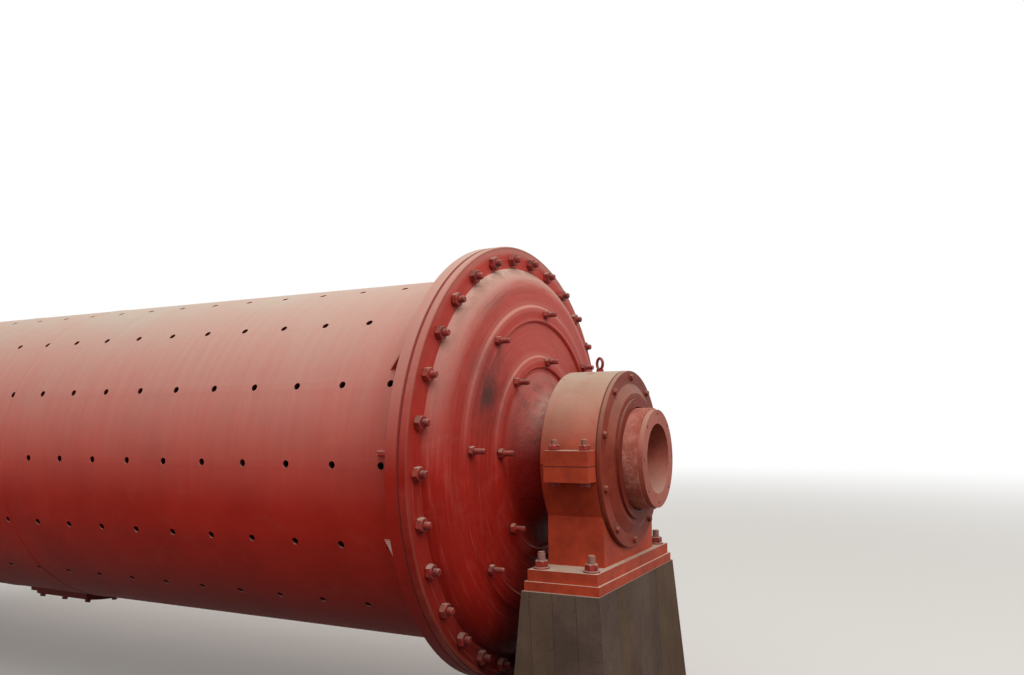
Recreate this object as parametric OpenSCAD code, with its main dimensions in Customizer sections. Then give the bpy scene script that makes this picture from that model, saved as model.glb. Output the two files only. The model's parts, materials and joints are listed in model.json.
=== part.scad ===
// Ball mill on two bearing piers.
// X runs along the drum's axis with the feed end at +X, Z is up, and the origin lies on
// the ground below the middle of the drum.

/* [Drum shell] */
// Bore of the shell
shell_bore_d = 1830; // [1500:10:2100]
// Thickness of the shell plate
shell_plate = 16; // [10:1:30]
// Height of the drum's axis above the ground
axis_height = 1450; // [1400:10:2200]

/* [Liner bolt holes] */
// Rows of holes round the shell
liner_rows = 16; // [8:4:24]
// Holes in each row along the shell
liner_row_holes = 24; // [10:2:28]
// Diameter of a hole
liner_hole_d = 34; // [20:1:44]
// Distance between holes along a row
liner_hole_pitch = 265; // [200:5:320]
// Distance from a head joint to the first hole
liner_hole_first = 185; // [165:5:220]
// Hole pitches along the middle course
middle_pitches = 3; // [3:2:7]
// Distance from a course's seam to the edges of the holes beside it
seam_margin = 5; // [4:1:60]

/* [Flanged joints] */
// Width of the flanges outside the shell
flange_w = 144; // [130:1:200]
// Thickness of the flange on the shell
shell_flange_t = 66; // [40:1:100]
// Thickness of the flange on the head
head_flange_t = 42; // [30:1:70]
// Bolts round a flange
flange_bolts = 30; // [20:2:40]
// Place of the bolts as a share of the flange's width beyond the shell
flange_bolt_share = 0.52; // [0.4:0.01:0.6]
// Diameter of a bolt hole
flange_hole_d = 39; // [26:1:45]
// Turn of the first bolt from the top
flange_bolt_turn = 7.4; // [0:0.1:11]
// Chamfer on the flanges' outer edges
flange_chamfer = 5; // [2:1:8]

/* [Flange gussets] */
// Gussets behind the feed end flange
gussets = 15; // [5:5:30]
// Turn of the first gusset from the top
gusset_turn = 14.7; // [13:0.1:17]
// Length along the shell
gusset_l = 137; // [60:1:160]
// Margin between a gusset and the flange's outer edge
gusset_edge = 9; // [2:1:60]
// Thickness of the plate
gusset_t = 16; // [8:1:24]

/* [Head casting] */
// Thickness of the dished wall
head_wall = 62; // [40:1:90]
// Depth from the joint to the face where the shoulder ends
dish_depth = 122; // [90:1:160]
// Distance from the bolt circle to the foot of the shoulder
shoulder_gap = 43; // [34:1:50]
// Width of the rounded shoulder
shoulder_w = 118; // [80:2:140]
// Slope of the face towards the hub, in degrees
face_slope = 3.3; // [0:0.1:8]
// Height of the two raised bands
band_h = 13; // [7:1:25]
// Width of the slope on the bands' outer edges
band_slope_w = 22; // [8:1:24]
// Chamfer on the bands' inner edges
band_chamfer = 9; // [1:0.5:10]
// Distance from the shoulder to the outer band
outer_band_gap = 68; // [20:2:90]
// Width of the outer band
outer_band_w = 95; // [70:1:120]
// Distance from the hub to the inner band
inner_band_gap = 17; // [6:1:40]
// Width of the inner band
inner_band_w = 71; // [60:1:90]
// Studs on each band
head_studs = 8; // [4:1:12]
// Diameter of the holes for the studs
stud_hole_d = 38; // [20:1:40]
// Turn of the first stud from the top
stud_turn = 40.5; // [0:0.5:44]

/* [Hub and trunnion] */
// Diameter where the hub leaves the face
hub_root_d = 860; // [820:2:870]
// Diameter of the hub where it enters the bearing
hub_d = 600; // [560:2:640]
// Distance from the joint to the end of the hub's curve
hub_curve_end = 296; // [270:1:305]
// Diameter of the journal in the bearing
journal_d = 500; // [490:2:540]
// Bore of the trunnion
trunnion_bore = 380; // [320:2:400]
// Running clearance round the journal
journal_gap = 0.08; // [0.05:0.01:0.1]

/* [Trunnion nose and sleeve] */
// Step from the journal down to the nose that passes the end cover
nose_step = 10; // [6:1:16]
// How far the nose stands out of the end cover
nose_l = 70; // [50:5:200]
// Inside diameter of the sleeve
sleeve_bore = 330; // [280:2:340]
// Thickness of the sleeve's end ring
sleeve_ring_t = 24; // [14:1:40]
// Margin of the nose round the end ring
sleeve_ring_margin = 9; // [4:1:14]
// Bolts in the sleeve's end ring
sleeve_bolts = 8; // [4:1:12]
// Diameter of the holes in the sleeve's end ring
sleeve_hole_d = 17; // [8:1:20]
// Clearance of the sleeve in the trunnion's bore
sleeve_gap = 0.3; // [0.1:0.1:0.5]

/* [Head liner] */
// Thickness of the head liner plates
head_liner_t = 50; // [30:1:70]
// Plates round one head
head_liner_plates = 8; // [4:1:12]
// Gap between neighbouring plates
head_liner_gap = 6; // [2:1:12]

/* [Bearing housing] */
// Distance from the joint to the back of the housing
housing_start = 330; // [325:1:360]
// Length of the housing's body
housing_l = 272; // [220:2:340]
// Outside diameter of the housing
housing_d = 842; // [800:2:900]
// Chamfer on the edges of the housing and its cover
housing_chamfer = 3; // [1:0.5:8]
// Drop from the axis to the split between base and cap
split_drop = 15; // [0:1:25]
// Clearance of the cap over the journal
cap_gap = 6; // [5:0.5:10]
// Width of the ears beyond the housing
ear_w = 96; // [80:1:130]
// Distance from the housing's back to the ears
ear_offset = 62; // [0:2:80]
// Thickness of each ear
ear_t = 69; // [40:1:90]
// Diameter of the bolt holes in the ears
ear_hole_d = 33; // [20:1:40]
// Distance of these holes from the ears' ends
ear_hole_edge = 33; // [28:1:60]
// Inset of the pedestal from the housing's sides
pedestal_inset = 81; // [60:1:120]
// Thickness of the housing's foot
foot_t = 50; // [30:1:80]
// Drop from the axis to the underside of the foot
foot_drop = 520; // [500:5:560]
// Length of the foot beyond each end of the housing
foot_over = 30; // [10:1:40]
// Width of the foot beyond each side of the housing
foot_out = 79; // [60:1:100]
// Diameter of the anchor bolt holes
anchor_hole_d = 39; // [24:1:50]
// Distance from the foot's long edges to the anchor bolts
anchor_end = 46; // [36:1:80]
// Distance from the foot's short edges to the anchor bolts
anchor_side = 50; // [36:1:70]

/* [Bearing covers] */
// Thickness of the end cover's flange
cover_t = 22; // [14:1:30]
// Height of the cover's cone above its flange
cover_cone_h = 24; // [10:1:40]
// Width of the flat rim round the cone
cover_rim_w = 63; // [56:1:75]
// Width of the flat top between the cone and the seal boss
cover_top_w = 25; // [10:1:40]
// Width of the seal boss round the nose
seal_boss_w = 47; // [30:1:60]
// Height of the seal boss above the cone
seal_boss_h = 12; // [6:1:30]
// Bolts round a cover
cover_bolts = 10; // [6:1:16]
// Distance from the cover's outer edge to its bolts
cover_bolt_edge = 33; // [24:1:40]
// Diameter of the cover's bolt holes
cover_hole_d = 22; // [12:1:26]
// Thickness of the inner seal ring
seal_ring_t = 16; // [8:1:20]
// Width of the inner seal ring
seal_ring_w = 62; // [40:1:75]
// Clearance of covers and seal rings round moving parts
seal_gap = 6; // [5:0.5:10]

/* [Lifting eyes] */
// Outside diameter of the ring
eye_d = 68; // [50:2:90]
// Thickness of the ring
eye_wire = 14; // [10:1:20]
// Diameter of the collar below the ring
eye_collar_d = 36; // [24:1:50]
// Height of the collar below the ring
eye_collar_h = 12; // [6:1:20]
// Turn of the ring out of the plane across the housing
eye_turn = -38; // [-90:1:90]

/* [Sole plates and piers] */
// Thickness of the sole plate
sole_t = 40; // [20:1:80]
// Margin of the sole plate round the foot
sole_margin = 12; // [0:1:15]
// Margin of the pier's top beyond the sole plate's ends
pier_margin_l = 5; // [0:1:40]
// Margin of the pier's top beyond the sole plate's sides
pier_margin_w = 18; // [0:1:150]
// Lean of the pier's faces, in millimetres for each metre
pier_lean = 74; // [0:2:90]

/* [Girth gear] */
// Teeth round the whole gear
gear_teeth = 132; // [120:4:132]
// Module of the teeth
gear_module = 20; // [18:0.5:20]
// Width of the gear's rim
gear_face_w = 320; // [240:10:360]
// Thickness of the rim below the teeth
gear_rim_t = 60; // [40:1:80]
// Thickness of the gear's web
gear_web_t = 40; // [24:1:60]
// Windows round the web
gear_windows = 20; // [16:4:24]
// Width of a window
gear_window_w = 210; // [120:5:220]
// Height of a window
gear_window_h = 124; // [80:2:130]
// Radius of a window's corners
gear_window_r = 50; // [20:1:58]
// Thickness of a rib
gear_rib_t = 20; // [12:1:30]
// Gap from a rib's end to the edge of the rim
gear_rib_edge = 20; // [5:1:40]
// Thickness of each flange where the two halves meet
gear_joint_t = 30; // [20:1:40]
// Clearance of the gear round the shell
gear_shell_gap = 6; // [2:1:20]

/* [Manhole] */
// Length of the opening along the drum
manhole_l = 400; // [300:10:420]
// Width of the opening round the drum
manhole_w = 350; // [250:10:400]
// Width of the frame round the opening
manhole_frame_w = 75; // [50:1:100]
// Thickness of the frame
manhole_frame_t = 20; // [12:1:30]
// Overlap of the cover round the opening
manhole_lap = 50; // [30:1:70]
// Thickness of the cover
manhole_cover_t = 16; // [10:1:30]
// Distance between the cover's bolts along the drum
manhole_bolt_l = 450; // [400:10:470]
// Distance between the cover's bolts across the drum
manhole_bolt_w = 396; // [300:2:420]
// Diameter of the cover's bolt holes
manhole_hole_d = 22; // [12:1:26]

/* [Hidden] */
$fn = 96;
eps = 1;

shell_r = shell_bore_d / 2 + shell_plate;
row_step = 360 / liner_rows;
joint_x = liner_hole_first + (liner_row_holes - 1) * liner_hole_pitch / 2;
seam_x = (middle_pitches * liner_hole_pitch + liner_hole_d) / 2 + seam_margin;

flange_d = 2 * (shell_r + flange_w);
flange_bolt_circle = 2 * (shell_r + flange_bolt_share * flange_w);
gusset_h = flange_w - gusset_edge;

shoulder_d = flange_bolt_circle - 2 * shoulder_gap;
face_d = shoulder_d - 2 * shoulder_w;
outer_band_d = face_d - 2 * outer_band_gap;
outer_band_id = outer_band_d - 2 * outer_band_w;
inner_band_id = hub_root_d + 2 * inner_band_gap;
inner_band_d = inner_band_id + 2 * inner_band_w;

function face_at(r) = dish_depth + (face_d / 2 - r) * tan(face_slope);
function wall_at(r) = face_at(r) - head_wall;
spigot_l = 24;
spigot_gap = 0.5;
spigot_t = 45;
spigot_r = shell_bore_d / 2 - spigot_gap;
dish_r = spigot_r - spigot_t;
dish_corner = 20;
slope_corners = [[0, 0], [0.12, 0.05], [0.88, 0.95], [1, 1]];
stud_circles = [(outer_band_d + outer_band_id) / 2, (inner_band_d + inner_band_id) / 2];
liner_fit = 0.3;
liner_margin = 12;

hub_step = housing_start + 36;
journal_end = housing_start + housing_l - seal_gap;
nose_d = journal_d - 2 * nose_step;
sleeve_ring_d = nose_d - 2 * sleeve_ring_margin;
sleeve_bolt_circle = (trunnion_bore + sleeve_ring_d) / 2;
cover_start = housing_start + housing_l;
cover_face = cover_start + cover_t;
cover_top = cover_face + cover_cone_h;
seal_face = cover_top + seal_boss_h;
nose_end = seal_face + nose_l;
housing_mid = housing_start + housing_l / 2;
seal_boss_d = nose_d + 2 * seal_boss_w;
cover_top_d = seal_boss_d + 2 * cover_top_w;
cover_cone_d = housing_d - 2 * cover_rim_w;
cover_bolt_circle = housing_d - 2 * cover_bolt_edge;
seal_ring_d = hub_d + 2 * seal_gap + 2 * seal_ring_w;

ear_start = housing_start + ear_offset;
pedestal_w = housing_d - 2 * pedestal_inset;
foot_l = housing_l + 2 * foot_over;
foot_w = housing_d + 2 * foot_out;
anchor_pitch = foot_l - 2 * anchor_end;
anchor_span = foot_w - 2 * anchor_side;
sole_l = foot_l + 2 * sole_margin;
sole_w = foot_w + 2 * sole_margin;
pier_top_l = sole_l + 2 * pier_margin_l;
pier_top_w = sole_w + 2 * pier_margin_w;

manhole_turn = 180;
manhole_frame_r = shell_r + manhole_frame_t;
manhole_cover_r = manhole_frame_r + manhole_cover_t;
manhole_edge = manhole_l / 2 + manhole_frame_w;

foot_bottom = axis_height - foot_drop;
pier_height = foot_bottom - sole_t;

gear_pitch_r = gear_module * gear_teeth / 2;
gear_tip_r = gear_pitch_r + gear_module;
gear_root_r = gear_pitch_r - 1.25 * gear_module;
gear_rim_r = gear_root_r - gear_rim_t;
gear_mid = shell_flange_t + gear_web_t / 2;
gear_window_mid = (gear_rim_r + flange_d / 2) / 2;
window_step = 360 / gear_windows;
tooth_step = 360 / gear_teeth;
tooth_root_half = 0.33 * tooth_step;
tooth_tip_half = 0.14 * tooth_step;
gear_rib_l = gear_face_w / 2 - gear_rib_edge;

// Raise a shape drawn about the drum's axis to the axis
module on_axis() {
    translate([0, 0, axis_height]) children();
}

// The same, with x = 0 at the near head's joint
module at_joint() {
    translate([joint_x, 0, axis_height]) children();
}

// Make the far end from the near end
module far_end() {
    mirror([1, 0, 0]) children();
}

// A round bar about the axis from x0 to x1
module bar(x0, x1, r) {
    translate([x0, 0, 0]) rotate([0, 90, 0]) cylinder(h = x1 - x0, r = r);
}

module tube(x0, x1, r_out, r_in) {
    difference() {
        bar(x0, x1, r_out);
        bar(x0 - eps, x1 + eps, r_in);
    }
}

// Turn a profile, drawn as radius and distance along the axis, about the axis
module turned() {
    rotate([0, 90, 0]) rotate_extrude() children();
}

// A round bar whose two outer edges are chamfered by c
module chamfered_bar(x0, x1, r, c) {
    turned() polygon([[0, x0], [r - c, x0], [r, x0 + c], [r, x1 - c], [r - c, x1], [0, x1]]);
}

// Place a child once for each of n places round the axis, counted from the top
module around(n, start = 0) {
    for (i = [0 : n - 1]) rotate([start + i * 360 / n, 0, 0]) children();
}

module bolt_ring(n, start, circle_d, hole_d, x0, x1) {
    around(n, start) translate([0, 0, circle_d / 2]) bar(x0, x1, hole_d / 2);
}

// Drum shell

function in_manhole(x, row) =
    abs(row * row_step - manhole_turn) < row_step / 2 && abs(x) < manhole_edge;

// The holes of a course from x0 to x1
module liner_holes(x0, x1) {
    for (row = [0 : liner_rows - 1], i = [0 : liner_row_holes - 1]) {
        x = liner_hole_first - joint_x + i * liner_hole_pitch;
        if (x > x0 && x < x1 && !in_manhole(x, row)) {
            rotate([row * row_step, 0, 0])
                translate([x, 0, shell_r - 2 * shell_plate])
                cylinder(h = 3 * shell_plate, r = liner_hole_d / 2);
        }
    }
}

// A block of the given length and width that stands out from the axis at the manhole
module manhole_block(l, w) {
    rotate([manhole_turn, 0, 0]) translate([-l / 2, -w / 2, shell_r / 2]) cube([l, w, shell_r]);
}

module shell_course(x0, x1) {
    color("indianred") on_axis() difference() {
        tube(x0, x1, shell_r, shell_bore_d / 2);
        liner_holes(x0, x1);
        manhole_block(manhole_l, manhole_w);
    }
}

module shell_near_course() {
    shell_course(seam_x, joint_x);
}

module shell_middle_course() {
    shell_course(-seam_x, seam_x);
}

module shell_far_course() {
    far_end() shell_near_course();
}

module near_shell_flange() {
    color("indianred") at_joint() difference() {
        chamfered_bar(-shell_flange_t, 0, flange_d / 2, flange_chamfer);
        bar(-shell_flange_t - eps, eps, shell_r);
        bolt_ring(flange_bolts, flange_bolt_turn, flange_bolt_circle, flange_hole_d,
                  -shell_flange_t - eps, eps);
    }
}

module far_shell_flange() {
    far_end() near_shell_flange();
}

module gusset() {
    translate([-shell_flange_t, gusset_t / 2, 0]) rotate([90, 0, 0])
        linear_extrude(gusset_t) polygon([
            [0, shell_r - shell_plate], [0, shell_r + gusset_h],
            [-gusset_l, shell_r], [-gusset_l, shell_r - shell_plate]
        ]);
}

module near_gussets() {
    color("indianred") at_joint() difference() {
        around(gussets, gusset_turn) gusset();
        bar(-joint_x, 0, shell_r);
    }
}

// Heads

// Radius of an arc that leaves a face level and falls by h over the distance l
function arc_r(l, h) = (l * l + h * h) / (2 * h);

module shoulder_profile() {
    l = (shoulder_d - face_d) / 2;
    h = dish_depth - head_flange_t;
    intersection() {
        translate([face_d / 2, dish_depth - arc_r(l, h)]) circle(r = arc_r(l, h));
        translate([face_d / 2 - eps, 0]) square([l + eps, dish_depth]);
    }
}

module hub_hollow_profile() {
    l = (hub_root_d - hub_d) / 2;
    h = hub_curve_end - face_at(hub_root_d / 2);
    intersection() {
        translate([hub_d / 2 + arc_r(h, l), hub_curve_end]) circle(r = arc_r(h, l));
        translate([hub_d / 2, hub_curve_end - h]) square([l + eps, h + eps]);
    }
}

// The corners of a raised band, from the foot of its outer slope inward
function band_corners(r_out, r_in) = concat([
    for (t = slope_corners)
        [r_out - band_slope_w * t[0], face_at(r_out) + band_h * t[1]]
], [
    [r_in + band_chamfer, face_at(r_in) + band_h],
    [r_in, face_at(r_in) + band_h - band_chamfer],
    [r_in, face_at(r_in)]
]);

module wall_profile() {
    rim_r = flange_d / 2;
    polygon(concat([
        [0, -spigot_l], [spigot_r, -spigot_l], [spigot_r, 0],
        [rim_r - flange_chamfer, 0], [rim_r, flange_chamfer],
        [rim_r, head_flange_t - flange_chamfer], [rim_r - flange_chamfer, head_flange_t],
        [face_d / 2, head_flange_t], [face_d / 2, dish_depth]
    ], band_corners(outer_band_d / 2, outer_band_id / 2),
    band_corners(inner_band_d / 2, inner_band_id / 2), [
        [hub_root_d / 2, face_at(hub_root_d / 2)], [hub_root_d / 2, hub_curve_end],
        [hub_d / 2, hub_curve_end], [hub_d / 2, hub_step],
        [journal_d / 2, hub_step], [journal_d / 2, journal_end],
        [nose_d / 2, journal_end], [nose_d / 2, nose_end], [0, nose_end]
    ]));
}

module dish_profile() {
    flat_r = dish_r - dish_corner;
    polygon([
        [0, -spigot_l - eps], [dish_r, -spigot_l - eps],
        [dish_r, wall_at(flat_r) - dish_corner], [flat_r, wall_at(flat_r)],
        [trunnion_bore / 2, wall_at(trunnion_bore / 2)],
        [trunnion_bore / 2, nose_end + eps], [0, nose_end + eps]
    ]);
}

module head_profile() {
    difference() {
        union() {
            difference() {
                wall_profile();
                hub_hollow_profile();
            }
            shoulder_profile();
        }
        dish_profile();
    }
}

module near_head() {
    color("firebrick") at_joint() difference() {
        turned() head_profile();
        bolt_ring(flange_bolts, flange_bolt_turn, flange_bolt_circle, flange_hole_d,
                  -eps, head_flange_t + eps);
        for (d = stud_circles)
            bolt_ring(head_studs, stud_turn, d, stud_hole_d, 0, hub_step);
    }
}

module far_head() {
    far_end() near_head();
}

module liner_profile() {
    r_out = dish_r - dish_corner - liner_margin;
    r_in = trunnion_bore / 2 + liner_margin;
    polygon([
        [r_in, wall_at(r_in) - liner_fit], [r_out, wall_at(r_out) - liner_fit],
        [r_out, wall_at(r_out) - liner_fit - head_liner_t],
        [r_in, wall_at(r_in) - liner_fit - head_liner_t]
    ]);
}

module near_head_liner() {
    plate_turn = stud_turn + 180 / head_liner_plates;
    color("slategray") at_joint() difference() {
        turned() liner_profile();
        around(head_liner_plates, plate_turn)
            translate([0, -head_liner_gap / 2, 0]) cube([dish_depth, head_liner_gap, dish_r]);
        for (d = stud_circles)
            bolt_ring(head_studs, stud_turn, d, stud_hole_d, -head_liner_t, dish_depth);
    }
}

module far_head_liner() {
    far_end() near_head_liner();
}

module near_inlet_sleeve() {
    r_sleeve = trunnion_bore / 2 - sleeve_gap;
    color("rosybrown") at_joint() difference() {
        union() {
            bar(wall_at(trunnion_bore / 2), nose_end + sleeve_ring_t, r_sleeve);
            bar(nose_end, nose_end + sleeve_ring_t, sleeve_ring_d / 2);
        }
        bar(0, nose_end + sleeve_ring_t + eps, sleeve_bore / 2);
        bolt_ring(sleeve_bolts, 0, sleeve_bolt_circle, sleeve_hole_d,
                  nose_end - eps, nose_end + sleeve_ring_t + eps);
    }
}

module far_outlet_sleeve() {
    far_end() near_inlet_sleeve();
}

// Girth gear

function on_ring(r, a) = [r * cos(a), r * sin(a)];

module gear_outline() {
    polygon([
        for (i = [0 : gear_teeth - 1])
            let (mid = (i + 0.5) * tooth_step)
                each [
                    on_ring(gear_root_r, mid - tooth_root_half),
                    on_ring(gear_tip_r, mid - tooth_tip_half),
                    on_ring(gear_tip_r, mid + tooth_tip_half),
                    on_ring(gear_root_r, mid + tooth_root_half)
                ]
    ]);
}

module gear_window() {
    h = gear_window_h / 2 - gear_window_r;
    w = gear_window_w / 2 - gear_window_r;
    for (y = [-h, h], x = [-w, w]) translate([y, x]) circle(r = gear_window_r);
    square([gear_window_h, 2 * w], center = true);
    square([2 * h, gear_window_w], center = true);
}

// Put a flat shape, drawn across the axis, in a slab from x0 to x1
module slab(x0, x1) {
    translate([x0, 0, 0]) rotate([0, 90, 0]) linear_extrude(x1 - x0) children();
}

module gear_rib(t) {
    r_in = flange_d / 2 + gear_shell_gap;
    translate([-gear_rib_l, -t / 2, r_in])
        cube([2 * gear_rib_l, t, gear_rim_r + gear_rim_t / 2 - r_in]);
}

module girth_gear() {
    difference() {
        union() {
            slab(-gear_face_w / 2, gear_face_w / 2) difference() {
                gear_outline();
                circle(r = gear_rim_r);
            }
            slab(-gear_web_t / 2, gear_web_t / 2) difference() {
                circle(r = gear_rim_r + gear_rim_t / 2);
                circle(r = shell_r + gear_shell_gap);
                for (i = [0 : gear_windows - 1])
                    rotate((i + 0.5) * window_step) translate([gear_window_mid, 0]) gear_window();
            }
            around(gear_windows) gear_rib(gear_rib_t);
            for (a = [90, 270]) rotate([a, 0, 0]) gear_rib(2 * gear_joint_t);
        }
        bolt_ring(flange_bolts, flange_bolt_turn, flange_bolt_circle, flange_hole_d,
                  -gear_web_t, gear_web_t);
    }
}

module gear_half(below) {
    color("dimgray") translate([gear_mid - joint_x, 0, axis_height]) difference() {
        girth_gear();
        translate([-gear_face_w, -2 * gear_tip_r, below ? 0 : -2 * gear_tip_r])
            cube([2 * gear_face_w, 4 * gear_tip_r, 2 * gear_tip_r]);
    }
}

module girth_gear_upper_half() {
    gear_half(false);
}

module girth_gear_lower_half() {
    gear_half(true);
}

// Manhole

module manhole_bolt_holes() {
    for (x = [-1, 0, 1], y = [-1, 0, 1]) {
        if (x != 0 || y != 0) {
            rotate([manhole_turn, 0, 0])
                translate([x * manhole_bolt_l / 2, y * manhole_bolt_w / 2, shell_r / 2])
                cylinder(h = shell_r, r = manhole_hole_d / 2);
        }
    }
}

module manhole_plate(l, w, r_out, r_in) {
    difference() {
        intersection() {
            tube(-l / 2, l / 2, r_out, r_in);
            manhole_block(l, w);
        }
        manhole_bolt_holes();
    }
}

module manhole_frame() {
    color("indianred") on_axis() difference() {
        manhole_plate(manhole_l + 2 * manhole_frame_w, manhole_w + 2 * manhole_frame_w,
                      manhole_frame_r, shell_r);
        manhole_block(manhole_l, manhole_w);
    }
}

module manhole_cover() {
    color("firebrick") on_axis()
        manhole_plate(manhole_l + 2 * manhole_lap, manhole_w + 2 * manhole_lap,
                      manhole_cover_r, manhole_frame_r);
}

// Bearings

// The pair of ears on one side of the split, with z0 as their lower face
module ear_block(z0) {
    w = housing_d / 2 + ear_w;
    translate([ear_start, -w, z0]) cube([cover_start - ear_start, 2 * w, ear_t]);
}

module ear_holes() {
    y = housing_d / 2 + ear_w / 2;
    for (x = [ear_start + ear_hole_edge, cover_start - ear_hole_edge], side = [-1, 1])
        translate([x, side * y, -2 * ear_t]) cylinder(h = 4 * ear_t, r = ear_hole_d / 2);
}

module housing_body() {
    chamfered_bar(housing_start, cover_start, housing_d / 2, housing_chamfer);
}

module housing_bore(gap) {
    bar(housing_start - eps, cover_start + eps, journal_d / 2 + gap);
    bar(housing_start - eps, hub_step + seal_gap, hub_d / 2 + seal_gap);
}

module anchor_holes() {
    for (x = [-1, 1], y = [-1, 1])
        translate([housing_mid + x * anchor_pitch / 2, y * anchor_span / 2, -foot_drop - sole_t - eps])
            cylinder(h = sole_t + foot_t + 2 * eps, r = anchor_hole_d / 2);
}

module half_space(z) {
    translate([0, -housing_d, z]) cube([2 * cover_start, 2 * housing_d, housing_d]);
}

module near_bearing_base() {
    color("sienna") at_joint() difference() {
        union() {
            housing_body();
            ear_block(-split_drop - ear_t);
            translate([housing_start, -pedestal_w / 2, -foot_drop])
                cube([housing_l, pedestal_w, foot_drop]);
            translate([housing_mid - foot_l / 2, -foot_w / 2, -foot_drop])
                cube([foot_l, foot_w, foot_t]);
        }
        half_space(-split_drop);
        housing_bore(journal_gap);
        ear_holes();
        anchor_holes();
    }
}

module near_bearing_cap() {
    color("tan") at_joint() difference() {
        union() {
            housing_body();
            ear_block(-split_drop);
        }
        half_space(-split_drop - housing_d);
        housing_bore(cap_gap);
        ear_holes();
    }
}

module near_end_cover() {
    color("brown") at_joint() difference() {
        union() {
            chamfered_bar(cover_start, cover_face, housing_d / 2, housing_chamfer);
            translate([cover_face, 0, 0]) rotate([0, 90, 0])
                cylinder(h = cover_cone_h, r1 = cover_cone_d / 2, r2 = cover_top_d / 2);
            bar(cover_start, seal_face, seal_boss_d / 2);
        }
        bar(0, seal_face + eps, nose_d / 2 + seal_gap);
        bolt_ring(cover_bolts, 0, cover_bolt_circle, cover_hole_d,
                  cover_start - eps, cover_face + eps);
    }
}

module near_seal_ring() {
    color("brown") at_joint()
        tube(housing_start - seal_ring_t, housing_start, seal_ring_d / 2, hub_d / 2 + seal_gap);
}

module near_lifting_eye() {
    collar_drop = 10;
    color("dimgray") at_joint() translate([housing_mid, 0, housing_d / 2]) difference() {
        union() {
            translate([0, 0, -collar_drop]) cylinder(h = collar_drop + eye_collar_h, r = eye_collar_d / 2);
            translate([0, 0, eye_collar_h + eye_d / 2 - eye_wire / 2]) rotate([90, 0, eye_turn])
                rotate_extrude() translate([(eye_d - eye_wire) / 2, 0]) circle(r = eye_wire / 2);
        }
        translate([-housing_mid, 0, -housing_d / 2]) bar(0, cover_start, housing_d / 2);
    }
}

module near_sole_plate() {
    color("sienna") at_joint() difference() {
        translate([housing_mid - sole_l / 2, -sole_w / 2, -foot_drop - sole_t])
            cube([sole_l, sole_w, sole_t]);
        anchor_holes();
    }
}

// A wall of length l whose face narrows from w0 at the ground to w1 at the top
module leaning_wall(w0, w1, l) {
    translate([0, l / 2, 0]) rotate([90, 0, 0]) linear_extrude(l)
        polygon([[-w0 / 2, 0], [w0 / 2, 0], [w1 / 2, pier_height], [-w1 / 2, pier_height]]);
}

module near_pier() {
    spread = 2 * pier_height * pier_lean / 1000;
    color("gray") translate([joint_x + housing_mid, 0, 0]) intersection() {
        leaning_wall(pier_top_l + spread, pier_top_l, pier_top_w + spread);
        rotate([0, 0, 90])
            leaning_wall(pier_top_w + spread, pier_top_w, pier_top_l + spread);
    }
}

module far_bearing_base() {
    far_end() near_bearing_base();
}

module far_bearing_cap() {
    far_end() near_bearing_cap();
}

module far_end_cover() {
    far_end() near_end_cover();
}

module far_seal_ring() {
    far_end() near_seal_ring();
}

module far_lifting_eye() {
    far_end() near_lifting_eye();
}

module far_sole_plate() {
    far_end() near_sole_plate();
}

module far_pier() {
    far_end() near_pier();
}

shell_near_course();
shell_middle_course();
shell_far_course();
near_shell_flange();
far_shell_flange();
near_gussets();
near_head();
far_head();
near_head_liner();
far_head_liner();
near_inlet_sleeve();
far_outlet_sleeve();
girth_gear_upper_half();
girth_gear_lower_half();
manhole_frame();
manhole_cover();
near_bearing_base();
near_bearing_cap();
near_end_cover();
near_seal_ring();
near_lifting_eye();
near_sole_plate();
near_pier();
far_bearing_base();
far_bearing_cap();
far_end_cover();
far_seal_ring();
far_lifting_eye();
far_sole_plate();
far_pier();
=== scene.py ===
"""The looks of the ball mill: fasteners, welds, finishes, floor, light and camera.

Metres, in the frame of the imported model: +X along the drum to the feed end, +Z up.
The near end is the feed end, at +X, and the far end, at -X, has the girth gear.
"""
import json
import math
import random

import bpy
from mathutils import Matrix, Vector, noise


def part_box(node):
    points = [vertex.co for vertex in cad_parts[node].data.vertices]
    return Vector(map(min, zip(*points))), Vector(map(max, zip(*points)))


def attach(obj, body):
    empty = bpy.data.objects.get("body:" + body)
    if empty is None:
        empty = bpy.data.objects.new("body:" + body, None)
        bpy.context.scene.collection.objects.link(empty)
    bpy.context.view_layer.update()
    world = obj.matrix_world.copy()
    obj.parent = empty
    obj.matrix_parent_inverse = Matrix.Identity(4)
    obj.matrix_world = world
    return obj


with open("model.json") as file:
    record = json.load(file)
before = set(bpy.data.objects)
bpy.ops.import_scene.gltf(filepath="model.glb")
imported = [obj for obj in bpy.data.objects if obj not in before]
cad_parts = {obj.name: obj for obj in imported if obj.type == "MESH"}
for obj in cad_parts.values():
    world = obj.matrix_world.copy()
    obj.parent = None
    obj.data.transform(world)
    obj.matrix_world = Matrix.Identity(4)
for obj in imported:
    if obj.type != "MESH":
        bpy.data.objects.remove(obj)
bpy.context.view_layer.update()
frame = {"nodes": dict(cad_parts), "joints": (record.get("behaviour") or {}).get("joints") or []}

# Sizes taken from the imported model

NODES = frame["nodes"]
AXIS_H = frame["joints"][0]["pos_m"][2]
SHELL_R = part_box("shell_middle_course")[1].z - AXIS_H
SEAM_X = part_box("shell_middle_course")[1].x
JOINT_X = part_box("near_shell_flange")[1].x
FLANGE_BACK_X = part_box("near_shell_flange")[0].x
FLANGE_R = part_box("near_shell_flange")[1].z - AXIS_H
GEAR_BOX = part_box("girth_gear_upper_half")
GEAR_MID_X = (GEAR_BOX[0].x + GEAR_BOX[1].x) / 2
GEAR_R = GEAR_BOX[1].z - AXIS_H
CAP_BACK_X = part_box("near_bearing_cap")[0].x
CAP_FRONT_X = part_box("near_bearing_cap")[1].x
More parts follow.
